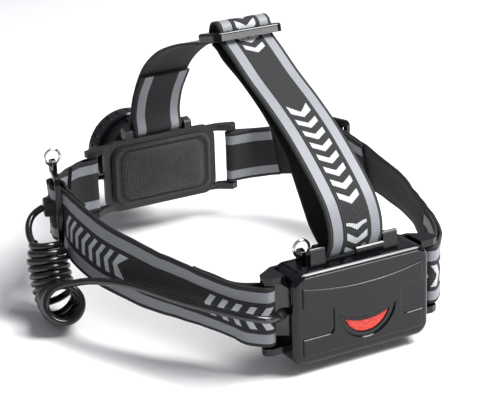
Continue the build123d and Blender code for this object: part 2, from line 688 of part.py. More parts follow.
CROWN_MIDDLE = Vector(0, 1.0, 94.7)
CROWN_UP = Vector(0, -0.233, 0.972)
CROWN_W = 39.0
CROWN_L = 21.0
with BuildPart() as crown_slider:
    with BuildSketch(Plane(origin=CROWN_MIDDLE, x_dir=(1, 0, 0), z_dir=CROWN_UP)):
        RectangleRounded(CROWN_W, CROWN_L, 3.5)
        with Locations((0, 4.9), (0, -4.9)):
            Rectangle(SLOT_H, 5.8, mode=Mode.SUBTRACT)
    extrude(amount=2.2, both=True)
    fillet(crown_slider.faces().sort_by(Axis(CROWN_MIDDLE, CROWN_UP))[-1].outer_wire().edges(), 1.4)
keep("crown_slider", crown_slider.part)

# ================================================================ cord
PACK_LEAD = [(44.8, 108.2, -11.0), (50.8, 111.7, -9.5), (59.2, 107.0, -7.7), (66.2, 95.0, -7.6), (71.6, 82.2, -8.0),
             (76.0, 70.6, -8.4), (80.6, 58.8, -8.0), (85.4, 47.2, -7.4), (90.0, 35.0, -8.6), (94.2, 23.6, -10.6),
             (98.6, 13.4, -13.0), (103.6, 6.4, -16.0), (108.2, 2.4, -19.4)]
COIL_LINE = [(107.5, 7.0, -25.5), (104.0, -4.9, -31.4), (101.8, -20.0, -30.0), (102.0, -27.0, -5.0)]
COIL_BENDS = [14.0, 15.0]
UPPER_LEAD = [(92.1, -49.1, 5.0), (97.0, -50.0, 3.0), (101.6, -47.2, -0.6), (104.6, -41.4, -4.2), (105.6, -34.0, -7.4)]
LAMP_LEAD = [(88.1, -52.6, 5.0), (86.6, -58.0, 4.2), (83.2, -65.6, 2.4), (75.0, -77.0, -0.2), (65.6, -87.6, -2.3),
             (55.0, -97.6, -4.0), (43.5, -103.0, -4.8), (30.5, -102.2, -5.0)]


def corner_radii(points):
    """The largest tidy arc at each corner of a route."""
    radii = []
    for before, corner, after in zip(points, points[1:], points[2:]):
        run_in = Vector(*corner) - Vector(*before)
        run_out = Vector(*after) - Vector(*corner)
        turn = run_in.get_angle(run_out)
        radii.append(0.45 * min(run_in.length, run_out.length) / tan(radians(turn / 2)))
    return radii


def tube(label, points, radii, diameter):
    """Round solid along straight runs joined by tangent arcs."""
    with BuildPart() as solid:
        with BuildLine() as route:
            FilletPolyline(*points, radius=radii)
        middle_line = route.wire()
        with BuildSketch(Plane(origin=points[0], z_dir=middle_line % 0)):
            Circle(diameter / 2)
        sweep(path=middle_line)
    expected = pi * (diameter / 2) ** 2 * middle_line.length
    print(label, "length", round(middle_line.length, 1), "radii", [round(r, 1) for r in radii],
          "volume / expected", round(solid.part.volume / expected, 4))
    keep(label, solid.part)


tube("cord_pack_lead", PACK_LEAD, corner_radii(PACK_LEAD), CORD_D)
tube("cord_coil", COIL_LINE, COIL_BENDS, COIL_D)
tube("cord_upper_lead", UPPER_LEAD, corner_radii(UPPER_LEAD), CORD_D)
tube("lamp_lead", LAMP_LEAD, corner_radii(LAMP_LEAD), CORD_D)

# ================================================================ export
os.makedirs("parts", exist_ok=True)
for label, part in parts.items():
    export_step(part, f"parts/{label}.step")
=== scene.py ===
import json
import math

import bpy
from mathutils import Matrix, Vector


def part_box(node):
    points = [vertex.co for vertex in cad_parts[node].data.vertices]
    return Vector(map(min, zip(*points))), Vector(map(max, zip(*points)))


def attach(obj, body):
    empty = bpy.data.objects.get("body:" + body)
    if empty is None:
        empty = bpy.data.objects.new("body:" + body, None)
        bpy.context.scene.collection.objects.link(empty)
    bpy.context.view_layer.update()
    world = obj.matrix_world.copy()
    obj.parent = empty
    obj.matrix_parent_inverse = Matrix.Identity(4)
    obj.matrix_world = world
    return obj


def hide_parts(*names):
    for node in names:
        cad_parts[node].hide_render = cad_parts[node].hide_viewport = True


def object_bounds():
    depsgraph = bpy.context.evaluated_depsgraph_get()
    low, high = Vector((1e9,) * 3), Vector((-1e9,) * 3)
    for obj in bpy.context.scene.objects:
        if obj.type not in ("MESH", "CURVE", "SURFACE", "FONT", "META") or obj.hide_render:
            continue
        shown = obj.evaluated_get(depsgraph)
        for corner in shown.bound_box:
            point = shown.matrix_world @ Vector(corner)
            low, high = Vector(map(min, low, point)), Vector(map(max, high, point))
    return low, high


# Strap headlamp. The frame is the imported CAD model: +Z up, the lamp faces -Y, the battery pack
# faces +Y and the wearer's left is +X. Blender works in metres; sizes below are in millimetres
# and pass through MM.

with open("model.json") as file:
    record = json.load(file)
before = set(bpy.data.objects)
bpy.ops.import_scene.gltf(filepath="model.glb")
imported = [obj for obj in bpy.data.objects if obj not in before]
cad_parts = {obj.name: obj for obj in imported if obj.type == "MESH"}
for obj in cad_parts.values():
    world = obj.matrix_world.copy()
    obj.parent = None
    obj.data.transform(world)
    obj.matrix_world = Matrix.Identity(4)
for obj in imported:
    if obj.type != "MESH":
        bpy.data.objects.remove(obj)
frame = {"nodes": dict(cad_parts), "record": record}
cad_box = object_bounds()
MM = 0.001


# ---------------------------------------------------------------- small tools
def point(x, y, z):
    """A place in millimetres as a vector in metres."""
    return Vector((x, y, z)) * MM


def lerp_table(table, key):
    """Value at key from (key, value) pairs in rising order, eased between them."""
    if key <= table[0][0]:
        return table[0][1]
    for (low, a), (high, b) in zip(table, table[1:]):
        if key <= high:
            share = (key - low) / (high - low)
            share = share * share * (3 - 2 * share)
            return a + (b - a) * share
    return table[-1][1]


def tube_faces(rings, size, facing):
    """Faces of a tube of rings with size points each, capped at both ends. facing is 1 or -1: which way
    round its rings run."""
    faces = []
    for ring in range(rings - 1):
        for k in range(size):
            a, b = ring * size + k, ring * size + (k + 1) % size
            faces.append((a, b, b + size, a + size))
    last = (rings - 1) * size
    faces += [tuple(reversed(range(size))), tuple(range(last, last + size))]
    return faces if facing > 0 else [face[::-1] for face in faces]


def mesh_piece(name, vertices, faces, material):
    """A smooth mesh object that rides on the root body."""
    mesh = bpy.data.meshes.new(name)
    mesh.from_pydata([tuple(v) for v in vertices], [], faces)
    mesh.update()
    mesh.polygons.foreach_set("use_smooth", [True] * len(mesh.polygons))
    piece = bpy.data.objects.new(name, mesh)
    bpy.context.scene.collection.objects.link(piece)
    mesh.materials.append(material)
    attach(piece, "root")
    return piece


# ---------------------------------------------------------------- materials
class Shader:
    """A Principled material and short ways to add procedural nodes to it."""

    def __init__(self, name, colour, roughness, **sockets):
        self.material = bpy.data.materials.new(name)
        self.material.use_nodes = True
        self.nodes = self.material.node_tree.nodes
        self.links = self.material.node_tree.links
        self.surface = self.nodes["Principled BSDF"]
        self.surface.inputs["Base Color"].default_value = (*colour, 1)
        self.surface.inputs["Roughness"].default_value = roughness
        for socket, value in sockets.items():
            self.surface.inputs[socket.replace("_", " ")].default_value = value
        self.material.diffuse_color = (*colour, 1)

    def feed(self, socket, value):
        """Links value, or sets it, on a node's input."""
        if isinstance(value, bpy.types.NodeSocket):
            self.links.new(value, socket)
        else:
            socket.default_value = value

    def math(self, operation, a, b=0.0, c=0.0):
        node = self.nodes.new("ShaderNodeMath")
        node.operation = operation
        for socket, value in zip(node.inputs, (a, b, c)):
            self.feed(socket, value)
        return node.outputs[0]

    def place(self, scale=(1.0, 1.0, 1.0)):
        """Position on the piece in metres, times scale."""
        where = self.nodes.new("ShaderNodeTexCoord").outputs["Object"]
        node = self.nodes.new("ShaderNodeMapping")
        node.inputs["Scale"].default_value = scale
        self.links.new(where, node.inputs["Vector"])
        return node.outputs[0]

    def noise(self, scale, detail=3.0, roughness=0.55, stretch=(1.0, 1.0, 1.0)):
        node = self.nodes.new("ShaderNodeTexNoise")
        self.links.new(self.place(stretch), node.inputs["Vector"])
        node.inputs["Scale"].default_value = scale
        node.inputs["Detail"].default_value = detail
        node.inputs["Roughness"].default_value = roughness
        return node.outputs["Fac"]

    def cells(self, scale, randomness=1.0):
        """Distance from the middle of each cell of a cellular pattern."""
        node = self.nodes.new("ShaderNodeTexVoronoi")
        node.inputs["Scale"].default_value = scale
        node.inputs["Randomness"].default_value = randomness
        self.links.new(self.place(), node.inputs["Vector"])
        return node.outputs["Distance"]

    def spread(self, value, low, high, from_low=0.3, from_high=0.7):
        """Value remapped from its usual range to low..high."""
        node = self.nodes.new("ShaderNodeMapRange")
        self.feed(node.inputs["Value"], value)
        for socket, number in zip(node.inputs[1:5], (from_low, from_high, low, high)):
            socket.default_value = number
        return node.outputs[0]

    def mix(self, share, a, b):
        node = self.nodes.new("ShaderNodeMix")
        node.data_type = "RGBA"
        self.feed(node.inputs["Factor"], share)
        self.feed(node.inputs[6], (*a, 1) if isinstance(a, tuple) else a)
        self.feed(node.inputs[7], (*b, 1) if isinstance(b, tuple) else b)
        return node.outputs[2]

    def scaled(self, colour, factor):
        """A fixed colour times a factor that changes over the surface."""
        node = self.nodes.new("ShaderNodeVectorMath")
        node.operation = "SCALE"
        node.inputs[0].default_value = colour
        self.links.new(factor, node.inputs["Scale"])
        return node.outputs[0]

    def colour(self, value):
        self.links.new(value, self.surface.inputs["Base Color"])

    def rough(self, value):
        self.links.new(value, self.surface.inputs["Roughness"])

    def bump(self, height, strength, distance):
        """Adds a bump of that depth in metres on top of any bump already there."""
        node = self.nodes.new("ShaderNodeBump")
        node.inputs["Strength"].default_value = strength
        node.inputs["Distance"].default_value = distance
        self.links.new(height, node.inputs["Height"])
        earlier = self.surface.inputs["Normal"].links
        if earlier:
            self.links.new(earlier[0].from_socket, node.inputs["Normal"])
        self.links.new(node.outputs[0], self.surface.inputs["Normal"])


def gloss_black():
    """Polished moulded plastic with faint handling marks."""
    shader = Shader("gloss_black", (0.003, 0.0035, 0.0045), 0.1, Specular_IOR_Level=0.34)
    smears = shader.spread(shader.noise(60, 4), 0.05, 0.13)
    fine = shader.spread(shader.noise(900, 2), 0.0, 0.05)
    shader.rough(shader.math("ADD", smears, fine))
    shader.bump(shader.noise(160, 2), 0.05, 0.0004)
    return shader.material


def matte_black():
    """Spark-textured moulded nylon."""
    shader = Shader("matte_black", (0.012, 0.012, 0.013), 0.5)
    grain = shader.noise(2600, 3)
    shader.bump(grain, 0.5, 0.00012)
    shader.rough(shader.spread(shader.noise(90, 3), 0.42, 0.58))
    return shader.material


def lamp_metal():
    """Black anodised aluminium, turned, with paler rubbed patches."""
    shader = Shader("lamp_metal", (0.02, 0.02, 0.022), 0.36, Metallic=0.6)
    rings = shader.noise(40, 3, stretch=(1, 60, 1))
    shader.rough(shader.spread(rings, 0.28, 0.44))
    shader.bump(rings, 0.15, 0.00008)
    wear = shader.spread(shader.noise(700, 5, 0.7), 0.0, 0.5, 0.62, 0.8)
    shader.colour(shader.mix(wear, (0.016, 0.016, 0.018), (0.09, 0.09, 0.1)))
    return shader.material


def rubber(name, colour, roughness):
    """Moulded rubber with a fine matte bloom."""
    shader = Shader(name, colour, roughness)
    shader.rough(shader.spread(shader.noise(240, 4), roughness - 0.08, roughness + 0.1))
    shader.bump(shader.noise(1800, 2), 0.25, 0.00008)
    return shader.material


def cord_jacket():
    """Smooth polyurethane cord, a little uneven from its extrusion."""
    shader = Shader("cord_jacket", (0.008, 0.0085, 0.0095), 0.2, Specular_IOR_Level=0.6)
    shader.rough(shader.spread(shader.noise(130, 3), 0.15, 0.27))
    shader.bump(shader.noise(300, 2), 0.08, 0.0003)
    return shader.material


def bare_metal(name, colour, low, high, scale=500):
    """Plain or plated metal with drawn marks."""
    shader = Shader(name, colour, (low + high) / 2, Metallic=1.0)
    marks = shader.noise(scale, 4, stretch=(1, 6, 6))
    shader.rough(shader.spread(marks, low, high))
    shader.bump(marks, 0.12, 0.00005)
    return shader.material


def red_lens():
    """Translucent red moulding with small prisms inside."""
    shader = Shader("red_lens", (0.82, 0.045, 0.018), 0.22, Transmission_Weight=0.25,
                    Subsurface_Weight=0.35, Subsurface_Scale=0.002, IOR=1.49)
    prisms = shader.cells(620)
    depth = shader.spread(prisms, 0.0, 1.0, 0.1, 0.7)
    shader.colour(shader.mix(depth, (0.86, 0.06, 0.022), (0.62, 0.02, 0.01)))
    shader.bump(prisms, 0.3, 0.0003)
    return shader.material


def clear_lens():
    """Hard-coated clear lens with a trace of dust."""
    shader = Shader("clear_lens", (0.97, 0.98, 1.0), 0.04, Transmission_Weight=1.0, IOR=1.49)
    shader.rough(shader.spread(shader.noise(300, 5, 0.7), 0.0, 0.09, 0.45, 0.8))
    return shader.material


def mirror_cup():
    """Metallised reflector with an orange-peel surface that softens the beam."""
    shader = Shader("mirror_cup", (0.86, 0.87, 0.88), 0.06, Metallic=1.0)
    shader.bump(shader.cells(900), 0.25, 0.0002)
    return shader.material


def circuit_board():
    """Green solder mask with copper tracks under it."""
    shader = Shader("circuit_board", (0.01, 0.13, 0.05), 0.32)
    tracks = shader.nodes.new("ShaderNodeTexBrick")
    tracks.inputs["Scale"].default_value = 260
    tracks.inputs["Mortar Size"].default_value = 0.06
    shader.links.new(shader.place((1, 0.4, 1)), tracks.inputs["Vector"])
    shader.colour(shader.mix(tracks.outputs["Fac"], (0.008, 0.1, 0.04), (0.03, 0.24, 0.1)))
    shader.bump(tracks.outputs["Fac"], 0.4, 0.00005)
    return shader.material


def emitter():
    """Yellow phosphor under a clear dome."""
    shader = Shader("emitter", (0.85, 0.62, 0.06), 0.15, Subsurface_Weight=0.3, Subsurface_Scale=0.001)
    shader.colour(shader.mix(shader.noise(1500, 2), (0.9, 0.72, 0.1), (0.8, 0.55, 0.05)))
    return shader.material


def cell_sleeve():
    """Plain grey shrink sleeve, a little uneven where it has drawn tight."""
    shader = Shader("cell_sleeve", (0.33, 0.35, 0.37), 0.3, Metallic=0.3)
    shader.colour(shader.mix(shader.noise(90, 3), (0.3, 0.32, 0.34), (0.38, 0.4, 0.42)))
    shader.rough(shader.spread(shader.noise(300, 4), 0.22, 0.38))
    shader.bump(shader.noise(220, 3, stretch=(1, 5, 5)), 0.2, 0.0001)
    return shader.material


STRIPES = ((2.4, 7.6), (23.4, 28.2))    # grey stripes, from the strap's upper edge
STRIPE_GREY = (0.21, 0.22, 0.24)
RIB_PITCH = 1.25
STITCH_PITCH = 1.15
STITCH_LEAN = 0.9                       # along the strap over one rib
MARK_GREY = (0.42, 0.44, 0.46)
MARK_HALF = 5.6                         # half height of the printed marks
MARK_LEAN = 0.62                        # along the strap per millimetre across it
MARK_BAR = 0.46                         # printed share of the pitch
MARK_PITCH = 7.4
MARK_COUNT = 8
MARKS_LENGTH = MARK_COUNT * MARK_PITCH
MARK_PERIOD = 85.0                      # one group of marks and the gap after it


def webbing(name, printed):
    """Ribbed elastic webbing. The printed face has two grey reflective stripes and a row of plain
    chevrons between them. The strap attribute holds millimetres across, along, and along the
    repeat of the marks."""
    shader = Shader(name, (0.012, 0.012, 0.013), 0.85)
    read = shader.nodes.new("ShaderNodeAttribute")
    read.attribute_name = "strap"
    split = shader.nodes.new("ShaderNodeSeparateXYZ")
    shader.links.new(read.outputs["Vector"], split.inputs[0])
    across, along, marked = split.outputs[0], split.outputs[1], split.outputs[2]
    # knitted rows: slanted stitches that lean the other way in each second rib
    rib = shader.math("MULTIPLY", across, 1 / RIB_PITCH)
    lean = shader.math("MULTIPLY", shader.math("PINGPONG", rib, 1.0), STITCH_LEAN)
    slant = shader.math("ADD", along, lean)
    stitch = shader.math("SINE", shader.math("MULTIPLY", slant, 2 * math.pi / STITCH_PITCH))
    ridge = shader.math("SINE", shader.math("MULTIPLY", rib, 2 * math.pi))
    fuzz = shader.noise(3200, 2)
    knit = shader.math("ADD", shader.math("MULTIPLY", stitch, 0.5), shader.math("MULTIPLY", ridge, 0.6))
    # the knit's height also sets the yarn colour: darker in the grooves between ribs and stitches and
    # lighter on their tops, which is painted shade and painted highlight, with random fuzz tone mixed in
    light = shader.math("ADD", knit, shader.spread(fuzz, -0.6, 0.6))
    light = shader.spread(light, 0.0, 1.0, -1.2, 1.3)
    shaded_yarn = shader.mix(light, (0.003, 0.003, 0.0035), (0.022, 0.022, 0.024))
    if printed:
        stripe = None
        for low, high in STRIPES:
            inside = shader.math("MULTIPLY", shader.math("GREATER_THAN", across, low),
                                 shader.math("LESS_THAN", across, high))
            stripe = inside if stripe is None else shader.math("ADD", stripe, inside)
        # chevrons: bars that lean back on both sides of the middle between the stripes
        middle = (STRIPES[0][1] + STRIPES[1][0]) / 2
        off = shader.math("ABSOLUTE", shader.math("SUBTRACT", across, middle))
        place = shader.math("ADD", marked, shader.math("MULTIPLY", off, MARK_LEAN))
        place = shader.math("FLOORED_MODULO", place, MARK_PERIOD)
        bar = shader.math("FRACT", shader.math("DIVIDE", place, MARK_PITCH))
        mark = shader.math("LESS_THAN", bar, MARK_BAR)
        mark = shader.math("MULTIPLY", mark, shader.math("LESS_THAN", off, MARK_HALF))
        mark = shader.math("MULTIPLY", mark, shader.math("LESS_THAN", place, MARKS_LENGTH - 0.5))
        # the grey print is painted darker in the stitch grooves the same way, with random fuzz tone
        weft_shade_and_fuzz = shader.math("ADD", shader.math("MULTIPLY", stitch, 0.25), fuzz)
        weft_shade_and_fuzz = shader.spread(weft_shade_and_fuzz, 0.82, 1.1, 0.1, 1.0)
        shaded_yarn = shader.mix(stripe, shaded_yarn, shader.scaled(STRIPE_GREY, weft_shade_and_fuzz))
        shaded_yarn = shader.mix(mark, shaded_yarn, shader.scaled(MARK_GREY, weft_shade_and_fuzz))
        # the print fills the knit and is a little smoother than the yarn
        inked = shader.math("MAXIMUM", stripe, mark)
        flat = shader.math("SUBTRACT", 1.0, shader.math("MULTIPLY", inked, 0.75))
        knit = shader.math("MULTIPLY", knit, flat)
        shader.rough(shader.spread(inked, 0.82, 0.55, 0.0, 1.0))
    shader.colour(shaded_yarn)
    shader.bump(knit, 0.55, 0.00022)
    shader.bump(fuzz, 0.3, 0.0001)
    return shader.material


def knitted_pad():
    """Black spacer mesh laid over foam."""
    shader = Shader("knitted_pad", (0.014, 0.014, 0.015), 0.85, Sheen_Weight=0.15)
    cell_relief_shade = shader.spread(shader.cells(720, 0.15), 1.0, 0.0, 0.2, 0.6)
    # the colour follows the knit's relief: the raised cells lighter and the low lines between them darker,
    # which is painted shade
    shader.colour(shader.mix(cell_relief_shade, (0.004, 0.004, 0.004), (0.032, 0.032, 0.034)))
    shader.bump(cell_relief_shade, 0.6, 0.0003)
    return shader.material


BLACK = gloss_black()
WEBBING = webbing("webbing_printed", True)
WEBBING_BACK = webbing("webbing_back", False)
PAD = knitted_pad()
JACKET = cord_jacket()
GLAND = rubber("gland_rubber", (0.012, 0.012, 0.013), 0.42)
CHROME = bare_metal("plated_wire", (0.78, 0.78, 0.77), 0.08, 0.2)
BY_SLOT = {
    "black_gloss": BLACK,
    "black_matte": matte_black(),
    "lamp_dark": lamp_metal(),
    "chrome_wire": CHROME,
    "red_lens": red_lens(),
    "lens_clear": clear_lens(),
    "mirror_cup": mirror_cup(),
    "board": circuit_board(),
    "led_yellow": emitter(),
    "aluminium_plain": bare_metal("blasted_aluminium", (0.6, 0.6, 0.62), 0.38, 0.52, 1400),
    "cell_can": cell_sleeve(),
    "steel": bare_metal("plain_steel", (0.5, 0.5, 0.5), 0.2, 0.38),
    "spring_plate": bare_metal("spring_plate", (0.7, 0.68, 0.62), 0.15, 0.3),
    "seal_rubber": rubber("seal_rubber", (0.02, 0.02, 0.021), 0.55),
    "button_rubber": rubber("button_rubber", (0.022, 0.022, 0.024), 0.5),
    "cord_jacket": JACKET,
    "gland": GLAND,
    "webbing": WEBBING,
    "webbing_plain": WEBBING_BACK,
    "foam": PAD,
}
for row in frame["record"]["subparts"]:
    node = frame["nodes"][row["node"]]
    node.data.materials.clear()
    node.data.materials.append(BY_SLOT[row["material_slot"]])

# ---------------------------------------------------------------- camera
CAMERA_AT = point(407.34, 733.48, 311.88)
AZIMUTH, ELEVATION, ROLL = (math.radians(a) for a in (150.752, 20.107, -1.775))
LENS, SENSOR_W = 123.6, 36.0
FAR = 20.0                  # metres
back = Vector((math.sin(AZIMUTH) * math.cos(ELEVATION), -math.cos(AZIMUTH) * math.cos(ELEVATION),
               math.sin(ELEVATION)))
level = (-back).cross(Vector((0, 0, 1))).normalized()
upright = level.cross(-back)
right = level * math.cos(ROLL) + upright * math.sin(ROLL)
top = upright * math.cos(ROLL) - level * math.sin(ROLL)
camera = bpy.data.objects.new("camera", bpy.data.cameras.new("camera"))
camera.data.lens = LENS
camera.data.sensor_width = SENSOR_W
camera.data.clip_end = FAR
camera.matrix_world = Matrix.Translation(CAMERA_AT) @ Matrix((right, top, back)).transposed().to_4x4()
bpy.context.scene.collection.objects.link(camera)
bpy.context.scene.camera = camera

# ---------------------------------------------------------------- cords
CORD_D = 3.6
# from the pack's gland, outside the rear band, to the coil
PACK_LEAD = [(44.8, 108.2, -11.0), (50.8, 111.7, -9.5), (59.2, 107.0, -7.7), (66.2, 95.0, -7.6),
             (71.6, 82.2, -8.0), (76.0, 70.6, -8.4), (80.6, 58.8, -8.0), (85.4, 47.2, -7.4),
             (90.0, 35.0, -8.6), (94.2, 23.6, -10.6), (98.6, 13.4, -13.0), (103.6, 6.4, -16.0)]
COIL_LINE = [(107.5, 7.0, -25.5), (104.0, -4.9, -31.4), (101.8, -20.0, -30.0), (102.0, -27.0, -5.0)]
UPPER_LEAD = [(105.6, -34.0, -7.4), (104.6, -41.4, -4.2), (101.6, -47.2, -0.6), (97.0, -50.0, 3.0),
              (92.1, -49.1, 5.0)]
# from the side guide, along the front band, to the lamp's gland
LAMP_LEAD = [(88.1, -52.6, 5.0), (86.6, -58.0, 4.2), (83.2, -65.6, 2.4), (75.0, -77.0, -0.2),
             (65.6, -87.6, -2.3), (55.0, -97.6, -4.0), (43.5, -103.0, -4.8), (30.5, -102.2, -5.0)]
COIL_TURNS = 13.4
COIL_R = 9.4                # to the middle of the wire
COIL_NECK_R = 6.6           # where the last turns draw in
COIL_NECK_TURNS = 2.2
COIL_UNEVEN = 0.25          # how far the turns' radius wanders
POINTS_PER_TURN = 14


def coil_axis(share):
    """Place and direction at a share of the length of the coil's smooth middle line."""
    start, first, second, end = (Vector(p) for p in COIL_LINE)
    middle = (first + second) / 2
    steps = 60
    spots = []
    for a, b, c in ((start, first, middle), (middle, second, end)):
        for t in (n / steps for n in range(steps + 1)):
            spots.append(a * (1 - t) ** 2 + b * 2 * t * (1 - t) + c * t * t)
    lengths = [0.0]
    for before, after in zip(spots, spots[1:]):
        lengths.append(lengths[-1] + (after - before).length)
    wanted = share * lengths[-1]
    n = next((k for k in range(1, len(spots)) if lengths[k] >= wanted and lengths[k] > lengths[k - 1]),
             len(spots) - 1)
    part = (wanted - lengths[n - 1]) / (lengths[n] - lengths[n - 1])
    ahead, behind = spots[min(n + 3, len(spots) - 1)], spots[max(n - 3, 0)]
    return spots[n - 1].lerp(spots[n], part), (ahead - behind).normalized()


def coil_points():
    """The helix: it leaves its top towards the viewer's left and winds away along the axis."""
    count = round(COIL_TURNS * POINTS_PER_TURN)
    _, along = coil_axis(0)
    up = (Vector((0, 0, 1)) - along * along.z).normalized()
    turned = []
    for step in range(count + 1):
        share = step / count
        place, along = coil_axis(share)
        up = (up - along * up.dot(along)).normalized()
        left = up.cross(along)
        angle = 2 * math.pi * step / POINTS_PER_TURN
        turns_left = COIL_TURNS * (1 - share)
        radius = lerp_table([(0, COIL_NECK_R), (COIL_NECK_TURNS, COIL_R)], turns_left)
        if 0.2 < share < 0.95:
            radius += COIL_UNEVEN * math.sin(3.1 * step)
        turned.append(place + (up * math.cos(angle) + left * math.sin(angle)) * radius)
    return turned


def smooth_curve(name, route):
    """A curve with one smooth NURBS line that route's points control."""
    curve = bpy.data.curves.new(name, "CURVE")
    curve.dimensions = "3D"
    line = curve.splines.new("NURBS")
    line.points.add(len(route) - 1)
    for spot, place in zip(line.points, route):
        spot.co = (*point(*place), 1)
    line.order_u = 3
    line.use_endpoint_u = True
    return curve


def cord_piece(name, route):
    """A round cord along route."""
    curve = smooth_curve(name, route)
    curve.bevel_depth = CORD_D / 2 * MM
    curve.bevel_resolution = 5
    curve.resolution_u = 5
    curve.use_fill_caps = True
    piece = bpy.data.objects.new(name, curve)
    bpy.context.scene.collection.objects.link(piece)
    curve.materials.append(JACKET)
    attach(piece, "root")
    return piece


def line_length(route):
    """Length of a cord along route, in metres."""
    probe = smooth_curve("probe", route)
    length = probe.splines[0].calc_length(resolution=12)
    bpy.data.curves.remove(probe)
    return length


coil_cord_route = PACK_LEAD + [tuple(p) for p in coil_points()] + UPPER_LEAD
coil_cord = cord_piece("coil_cord", coil_cord_route)
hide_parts("cord_pack_lead", "cord_coil", "cord_upper_lead")
line_length(coil_cord_route)

lamp_cord = cord_piece("lamp_cord", LAMP_LEAD)
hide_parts("lamp_lead")
line_length(LAMP_LEAD)

# ---------------------------------------------------------------- webbing
BAND_W = 30.0
BAND_T = 1.6
EDGE_W = 1.0                # rounded edge on each side of the ribs
RIB_HEIGHT = 0.09
# (y, height of the headband's middle line)
CENTRE_HEIGHT = [(-95, -5.4), (-75, -1.9), (-60, 1.2), (-47, 2.9), (-35, 2.4), (-20, 1.0), (0, -1.4),
                 (25, -3.4), (50, -6.4), (75, -9.0), (90, -11.0), (104, -11.8)]
# (y, how far the band's lower edge stands out beyond its upper edge)
FLARE = [(-92, 0), (-82, 3), (-70, 3), (-58, 0), (-37, 0), (-30, 4), (-20, 7), (-5, 8.5), (10, 9), (26, 8),
         (40, 6), (51, 3), (63, 0), (74, -3), (84, -4), (90, -3.5), (97, 0), (104, 0)]
BEFORE_MARKS = -20.0        # a place in the gap before a group of marks
GAP_END = MARK_PERIOD - 6.0


def smooth_line(controls, step=2.0):
    """Points along a Catmull-Rom line through the controls, close together where those are."""
    ends = [controls[0] * 2 - controls[1], *controls, controls[-1] * 2 - controls[-2]]
    line = []
    for before, a, b, after in zip(ends, ends[1:], ends[2:], ends[3:]):
        count = max(3, math.ceil((b - a).length / step))
        for n in range(count):
            t = n / count
            line.append(0.5 * (2 * a + (b - before) * t + (2 * before - 5 * a + 4 * b - after) * t * t
                               + (3 * a - before - 3 * b + after) * t ** 3))
    line.append(controls[-1])
    return line


def tangents(line):
    """Unit direction at each point of a line."""
    found = []
    for n, _ in enumerate(line):
        ahead = line[min(n + 1, len(line) - 1)]
        behind = line[max(n - 1, 0)]
        found.append((ahead - behind).normalized())
    return found


def mark_place(travelled, starts):
    """Place in the marks' repeat: each group of marks begins at one of starts."""
    if not starts:
        return BEFORE_MARKS
    if travelled < starts[0]:
        return max(travelled - starts[0], BEFORE_MARKS)
    group = max(n for n, start in enumerate(starts) if start <= travelled)
    inside = travelled - starts[group]
    if inside > MARKS_LENGTH:
        if group + 1 == len(starts):
            inside = min(inside, GAP_END)
        else:
            share = (inside - MARKS_LENGTH) / (starts[group + 1] - starts[group] - MARKS_LENGTH)
            inside = MARKS_LENGTH + (MARK_PERIOD - MARKS_LENGTH) * share
    return group * MARK_PERIOD + inside


def cross_section():
    """Loop round the webbing's section as (across, out), with across from the upper edge: the front face
    with its ribs, the lower edge, the back and the upper edge."""
    half = BAND_T / 2
    ribbed = BAND_W - 2 * EDGE_W
    count = round(ribbed / RIB_PITCH * 4)
    front = []
    for n in range(count + 1):
        across = EDGE_W + ribbed * n / count
        in_stripe = any(low < across < high for low, high in STRIPES)
        rib = 0.0 if in_stripe else RIB_HEIGHT * math.cos(2 * math.pi * across / RIB_PITCH)
        front.append((across, half - 0.06 + rib))
    inset = 0.35
    bead = [(BAND_W - inset, half * 0.95), (BAND_W, half * 0.35), (BAND_W, -half * 0.35),
            (BAND_W - inset, -half * 0.95)]
    rear = [(across, -out) for across, out in reversed(front)]
    other = [(BAND_W - across, -out) for across, out in bead]
    return front, bead, rear, other


def strap(name, controls, ups, face_out, mark_starts):
    """A length of webbing along controls (mm). ups gives the direction of its upper edge at a place.
    face_out is 1 or -1: the side of the line that the printed face is on."""
    line = smooth_line([Vector(c) for c in controls])
    directions = tangents(line)
    front, bead, rear, other = cross_section()
    loop = front + bead + rear + other
    printed_to = len(front) + 1
    vertices, strap_data = [], []
    travelled = 0.0
    for n, (centre, along) in enumerate(zip(line, directions)):
        travelled += (centre - line[n - 1]).length if n else 0.0
        up = ups(centre, along)
        up = (up - along * up.dot(along)).normalized()
        out = up.cross(along) * face_out
        marked = mark_place(travelled, mark_starts)
        for across, height in loop:
            vertices.append((centre + up * (BAND_W / 2 - across) + out * height) * MM)
            strap_data.append((across, travelled, marked))
    size = len(loop)
    piece = mesh_piece(name, vertices, tube_faces(len(line), size, face_out), WEBBING)
    piece.data.materials.append(WEBBING_BACK)
    for polygon in piece.data.polygons[:-2]:
        polygon.material_index = 0 if polygon.index % size < printed_to else 1
    for polygon in piece.data.polygons[-2:]:
        polygon.material_index = 1
        polygon.use_smooth = False
    attribute = piece.data.attributes.new("strap", "FLOAT_VECTOR", "POINT")
    attribute.data.foreach_set("vector", [number for row in strap_data for number in row])
    return piece


def band_point(x, y, side):
    """A place on the headband's middle line, from its plan."""
    return Vector((side * x, y, lerp_table(CENTRE_HEIGHT, y)))


def band_up(centre, along):
    """The band's upward direction: upright, with the lower edge flared away from the head."""
    outward = Vector((along.y, -along.x, 0)).normalized()
    if outward.dot(Vector((centre.x, centre.y, 0))) < 0:
        outward = -outward
    return Vector((0, 0, 1)) - outward * (lerp_table(FLARE, centre.y) / BAND_W)


# plan of the left band: from its sewn end round the strap frame's bar and forward to the side slider
REAR_BAND = [(66.4, 67.4), (61.8, 77.9), (57.2, 87.0), (52.8, 93.6), (47.6, 97.4), (43.9, 99.1),
             (42.9, 101.2), (43.8, 103.2), (45.7, 103.9), (47.8, 103.3), (51.4, 100.2), (55.4, 95.2),
             (63.4, 78.6), (71.2, 60.5), (77.7, 45.5), (83.1, 30.7), (86.6, 15.0), (88.1, 0.0),
             (88.6, -15.0), (87.6, -26.0), (86.0, -34.6), (85.8, -37.0)]
SLIDER_MIDDLE = Vector((85.3, -47.0))
SLIDER_ALONG = Vector((0.296, 0.955)).normalized()
SLIDER_OUT = Vector((0.955, -0.296)).normalized()
